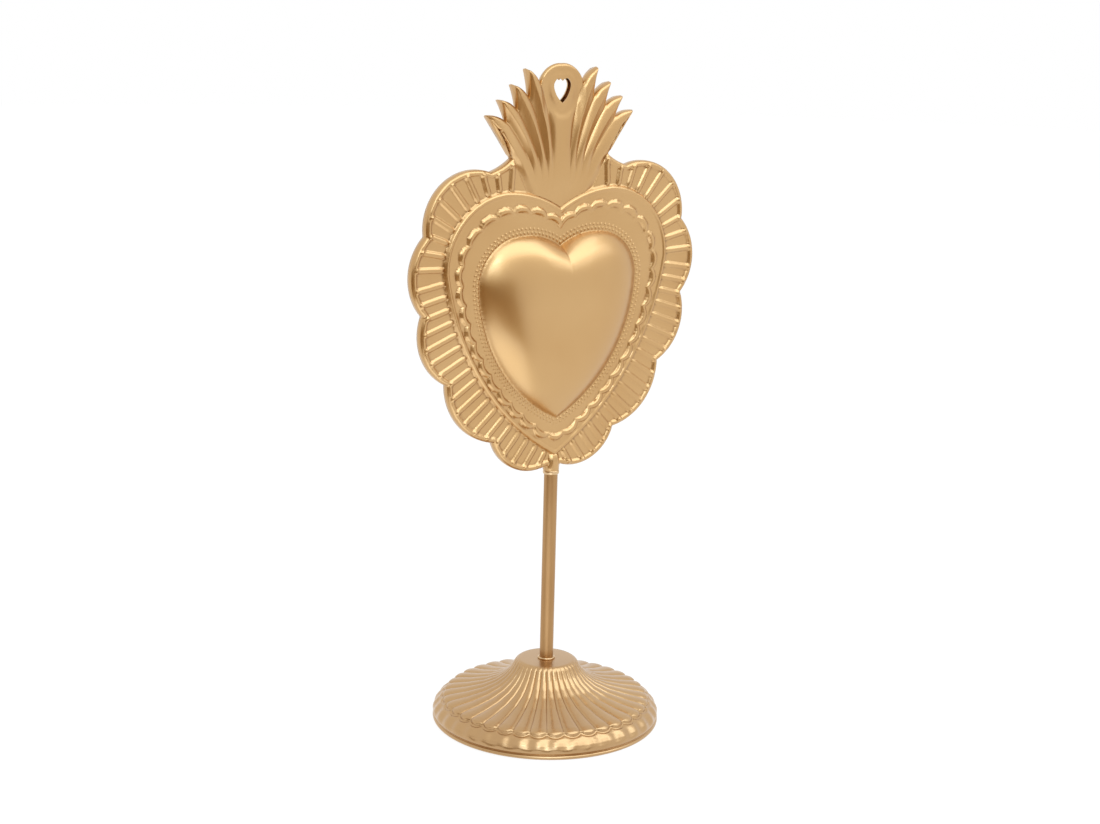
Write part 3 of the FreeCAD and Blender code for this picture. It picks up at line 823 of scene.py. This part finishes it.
FLUTES = 38
FLUTE_COLUMNS = 14
FLUTE_RADII = [13, 17, 30, 47]
FLUTE_RISES = [0.45, 0.70, 0.95, 1.15]
FLARE = [
    (3.3, 29.0),
    (8.0, 29.0),
    (12.9, 28.9),
    (13.8, 28.1),
    (14.8, 26.0),
    (16.4, 23.2),
    (19.0, 20.3),
    (23.0, 17.4),
    (29.0, 14.8),
    (37.0, 12.8),
    (44.0, 11.6),
]
SKIRT = [
    (44.0, 11.6),
    (46.2, 10.9),
    (47.2, 10.0),
    (47.9, 9.5),
    (48.8, 9.0),
    (50.0, 7.9),
    (51.1, 6.5),
    (51.8, 5.1),
    (52.0, 4.1),
    (51.7, 3.2),
    (51.2, 2.7),
    (51.0, 2.45),
    (51.7, 2.1),
    (52.1, 1.5),
    (51.8, 0.8),
    (51.2, 0.42),
]
INNER_BELL = [
    (50.9, 0.42),
    (50.6, 1.4),
    (50.3, 2.7),
    (50.9, 3.9),
    (50.6, 5.0),
    (49.9, 6.3),
    (48.6, 7.6),
    (46.5, 8.8),
    (43.0, 10.2),
    (37.0, 11.4),
    (29.0, 13.2),
    (22.6, 15.8),
    (18.4, 18.8),
    (15.6, 22.0),
    (13.6, 25.6),
    (12.0, 27.6),
    (3.3, 28.0),
    (3.3, 29.0),
]


def flute_lift(radius, height, angle):
    """How far the flutes, the groove round their noses and the skirt's waves stand off the bell."""
    across = np.abs(((angle * FLUTES / (2 * math.pi)) % 1.0) - 0.5) * 2
    round_top = np.sqrt(np.clip(1 - across ** 2 * 0.96, 0, 1)) - 0.35
    start = 1 - ease(height, 27.2, 28.85)
    nose = 47.6 - 1.5 * across ** 2
    end = np.where(height < 13.0, 1 - ease(radius, nose - 0.6, nose + 0.05), 1.0)
    flute = np.interp(radius, FLUTE_RADII, FLUTE_RISES) * start * end * round_top
    groove = 0.42 * hump(radius - nose - 0.50, 0.62) * ease(radius, 45.0, 46.0)
    wave = 0.30 * np.cos(angle * FLUTES + math.pi) * ease(radius, 47.8, 50.0) * ease(height, 2.6, 6.5)
    return flute - groove + wave


def foot_piece():
    """Fluted bell of the foot with its rounded skirt and rolled lip."""
    flare = rounded_line(FLARE, 56, 14)
    skirt = rounded_line(SKIRT, 80, 24)
    profile = np.concatenate([flare, skirt[1:], INNER_BELL])
    tangent = np.gradient(profile, axis=0)
    length = np.maximum(np.hypot(*tangent.T), 1e-9)[:, None]
    segments = FLUTES * FLUTE_COLUMNS
    lift = flute_lift(profile[:, :1], profile[:, 1:], bearings(segments))
    lift[-len(INNER_BELL) :] = 0
    shift = (-lift * tangent[:, 1:] / length, lift * tangent[:, :1] / length)
    piece = lathe(profile, "foot_relief", FOOT_GOLD, segments, 60, shift)
    hollows(piece, passes=5)
    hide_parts("foot_shell")


def stem_piece():
    """Round bar with its threaded lower end."""
    profile = [
        (0.0, 20.0),
        (1.7, 20.0),
        (2.0, 20.4),
        (2.0, 28.95),
        (3.1, 29.0),
        (3.1, 60.0),
        (3.1, 90.0),
        (3.1, 124.9),
        (2.5, 125.5),
        (0.0, 125.5),
    ]
    piece = lathe(profile, "stem_bar", STEM_GOLD, 64, 40)
    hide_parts("stem_rod")


def lumpy_ring(name, z, inner, outer, tall, node, seed):
    """Bead of solder laid by hand round the stem."""
    middle, half_width, half_height = (inner + outer) / 2, (outer - inner) / 2, tall / 2
    turns = np.linspace(0, 2 * math.pi, 17)[:-1]
    section = [(middle + half_width * math.cos(t), z + half_height * (1 + math.sin(t))) for t in turns]
    section.append(section[0])
    swell = swells(len(section), bearings(72), 1.6, seed, 0.15)
    swell[-1] = swell[0]
    piece = lathe(section, name, SOLDER, 72, 80, (swell * 0.28, swell * 0.18))
    hollows(piece, passes=4)
    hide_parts(node)


def socket_piece():
    """Half-round bulge of both sheets that the stem's top lies in, slightly dented, with its seam."""
    profile = [
        (3.15, 118.65),
        (3.4, 118.6),
        (3.6, 119.0),
        (3.78, 120.6),
        (3.8, 122.4),
        (3.65, 124.2),
        (3.2, 125.9),
        (2.5, 127.2),
        (1.4, 128.1),
        (0.0, 128.4),
    ]
    angles = bearings(96)
    seam = np.abs(np.sin(angles)) < 0.08
    dents = swells(len(profile), angles, 2.2, 4.0, 0.5) * 0.42 - seam * 0.12
    dents[[0, 1, -1]] = 0
    piece = lathe(profile, "stem_socket", HEART_GOLD, 96, 60, (dents, 0))
    hollows(piece, passes=3)


def tack_pieces():
    """Small solder tacks over the seam in the rim's valleys."""
    bm = bmesh.new()
    for number, (px, pz) in enumerate(VALLEYS[2:6]):
        for way in (1, -1):
            made = bmesh.ops.create_icosphere(bm, subdivisions=3, radius=0.9 * MM)
            for vert in made["verts"]:
                vert.co *= 1 + 0.16 * noise.noise(vert.co * 1400 + Vector((number * 3.1, way, 0)))
            bmesh.ops.scale(bm, vec=(0.8, 0.95, 1.0), verts=made["verts"])
            bmesh.ops.translate(bm, vec=(way * (px - 0.8) * MM, 0, pz * MM), verts=made["verts"])
    piece = finished(bm, "seam_tacks", SOLDER, smooth_angle=80)
    hollows(piece, passes=3)
    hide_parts("rim_solder_tacks")


def felt_piece():
    """Felt disc glued under the foot, with a soft pressed edge that is slightly uneven."""
    profile = [
        (0.0, 0.02),
        (20.0, 0.02),
        (44.0, 0.02),
        (47.2, 0.06),
        (47.8, 0.25),
        (47.95, 0.6),
        (47.8, 1.0),
        (47.2, 1.18),
        (20.0, 1.19),
        (0.0, 1.19),
    ]
    edge = np.array([[radius > 47] for radius, _ in profile])
    rows = np.arange(len(profile))[:, None]
    nap = 0.025 * np.sin(bearings(128) * 31 + rows) * edge
    piece = lathe(profile, "felt_disc", FELT, 128, 70, (nap, 0))
    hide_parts("felt_pad")


for facing_front in (True, False):
    shield_shell(facing_front)
    crown_shell(facing_front)
foot_piece()
stem_piece()
socket_piece()
tack_pieces()
felt_piece()
lumpy_ring("neck_bead", 117.2, 2.9, 3.75, 1.7, "neck_solder_fillet", 2.0)
lumpy_ring("foot_bead", 28.9, 2.9, 3.9, 0.95, "foot_solder_ring", 7.0)

FITTINGS = {
    "floor_plate": FLOOR_STEEL,
    "plain_washer": ZINC_STEEL,
    "spring_washer": ZINC_STEEL,
    "stem_nut": ZINC_STEEL,
}
for node_name, metal in FITTINGS.items():
    nodes[node_name].data.materials.clear()
    nodes[node_name].data.materials.append(metal)


# Studio

DAYLIGHT = (0.70, 0.84, 1.0)
COOL = (0.60, 0.79, 1.0)
BROWN = (0.44, 0.24, 0.075)


def studio_floor():
    """White table that fades into the white behind it and keeps the object's shadow."""
    bm = bmesh.new()
    bmesh.ops.create_circle(bm, cap_ends=True, radius=3.0, segments=64)
    floor = mesh_object(bm, "studio_floor")
    graph = Graph("floor_white")
    grain = graph.noise(scale=30.0, detail=2.0)
    white = graph.mix(grain, (0.86, 0.86, 0.86, 1), (0.90, 0.90, 0.90, 1))
    graph.feed(Base_Color=white, Roughness=0.9)
    seen = graph.node("ShaderNodeLightPath", output="Is Camera Ray")
    mirrored = graph.node("ShaderNodeLightPath", output="Is Glossy Ray")
    share = (seen + mirrored).between(0.0, 1.0) * 0.80
    plain = Value(graph, graph.shader.outputs[0])
    glow = graph.node("ShaderNodeEmission", Strength=1.13)
    blend = graph.node("ShaderNodeMixShader", i0=share, i1=plain, i2=glow)
    graph.tree.links.new(blend.socket, graph.tree.nodes["Material Output"].inputs["Surface"])
    floor.data.materials.append(graph.material)


def studio_world():
    """White world, seen and mirrored at full strength, which lights the object at a lower one."""
    world = bpy.data.worlds.new("studio")
    bpy.context.scene.world = world
    world.use_nodes = True
    tree = world.node_tree
    path = tree.nodes.new("ShaderNodeLightPath")
    seen = path.outputs["Is Camera Ray"]
    for ray in ("Is Glossy Ray", "Is Transmission Ray"):
        either = tree.nodes.new("ShaderNodeMath")
        either.operation = "MAXIMUM"
        tree.links.new(seen, either.inputs[0])
        tree.links.new(path.outputs[ray], either.inputs[1])
        seen = either.outputs[0]
    strength = tree.nodes.new("ShaderNodeMapRange")
    strength.inputs["To Min"].default_value = 0.55
    strength.inputs["To Max"].default_value = 1.0
    tree.links.new(seen, strength.inputs["Value"])
    background = tree.nodes["Background"]
    background.inputs["Color"].default_value = (1, 1, 1, 1)
    tree.links.new(strength.outputs[0], background.inputs["Strength"])


def area_lamp(name, place, aim, size, power, colour):
    """Rectangular lamp that looks from its place to its aim."""
    data = bpy.data.lights.new(name, "AREA")
    data.shape = "RECTANGLE"
    data.size, data.size_y = size
    data.energy = power
    data.color = colour
    lamp = linked(name, data)
    lamp.visible_camera = False
    lamp.location = place
    lamp.rotation_euler = (Vector(aim) - Vector(place)).to_track_quat("-Z", "Y").to_euler()


def lying(inner, outer, first, last):
    """Place on the table, between two distances and two bearings from straight in front to the left."""

    def place(across, along):
        reach = inner + (outer - inner) * along
        bearing = math.radians(first + (last - first) * across)
        return (-reach * math.sin(bearing), -reach * math.cos(bearing), 0.002)

    return place


def standing(reach, top, first, last):
    """Place on an upright wall round the set, from the table to a height."""

    def place(across, along):
        bearing = math.radians(first + (last - first) * across)
        return (-reach * math.sin(bearing), -reach * math.cos(bearing), top * along)

    return place


def brown_card(name, place):
    """Brown cloth beside the set, seen only in the metal; place says where its unit square's points go."""
    bm = bmesh.new()
    bmesh.ops.create_grid(bm, x_segments=12, y_segments=1, size=0.5)
    for vert in bm.verts:
        vert.co = place(vert.co.x + 0.5, vert.co.y + 0.5)
    card = mesh_object(bm, name)
    card.visible_camera = False
    card.visible_shadow = False
    card.visible_diffuse = False
    graph = Graph(name)
    deep = [0.8 * part for part in BROWN]
    cloth = graph.mix(graph.noise(scale=20.0, detail=2.0), (*deep, 1), (*BROWN, 1))
    graph.feed(Base_Color=cloth, Roughness=1.0)
    card.data.materials.append(graph.material)


def camera():
    """Camera that stands to the left of the heart's front and looks slightly down."""
    turn, pitch, yaw, roll = (math.radians(angle) for angle in (-34.58, 13.83, 0.07, 1.42))
    distance, height = 0.879, 0.362
    heading = turn + yaw
    level = math.cos(pitch)
    look = Vector((-math.sin(heading) * level, math.cos(heading) * level, -math.sin(pitch)))
    flat_right = Vector((math.cos(heading), math.sin(heading), 0))
    upright = flat_right.cross(look)
    right = math.cos(roll) * flat_right + math.sin(roll) * upright
    up = math.cos(roll) * upright - math.sin(roll) * flat_right
    data = bpy.data.cameras.new("camera")
    data.sensor_width = 36.0
    data.lens = 36.0 * 2022 / 1100
    data.clip_start, data.clip_end = 0.01, 50
    made = linked("camera", data)
    made.location = (distance * math.sin(turn), -distance * math.cos(turn), height)
    made.rotation_euler = Matrix((right, up, -look)).transposed().to_euler()
    bpy.context.scene.camera = made


camera()
studio_floor()
studio_world()
area_lamp("overhead_lamp", (0.15, -0.75, 1.35), (0, 0, 0.15), (2.0, 1.0), 12, DAYLIGHT)
area_lamp("front_lamp", (-0.95, -1.35, 0.98), (0, 0, 0.10), (0.9, 0.6), 4.3, COOL)
area_lamp("small_lamp", (-0.58, -1.05, 1.04), (0, 0, 0.08), (0.34, 0.26), 1.0, COOL)
area_lamp("right_lamp", (0.95, -0.84, 0.86), (0, 0, 0.20), (0.8, 0.5), 1.5, DAYLIGHT)
area_lamp("table_lamp", (-0.17, -0.18, 0.004), (-0.17, -0.18, 0.25), (0.28, 0.26), 0.21, DAYLIGHT)
brown_card("left_card", lying(0.32, 1.2, 0, 100))
brown_card("left_wall", standing(1.2, 0.34, 0, 100))
brown_card("right_card", lying(0.7, 1.4, 205, 260))
bpy.context.scene.view_settings.view_transform = "Standard"
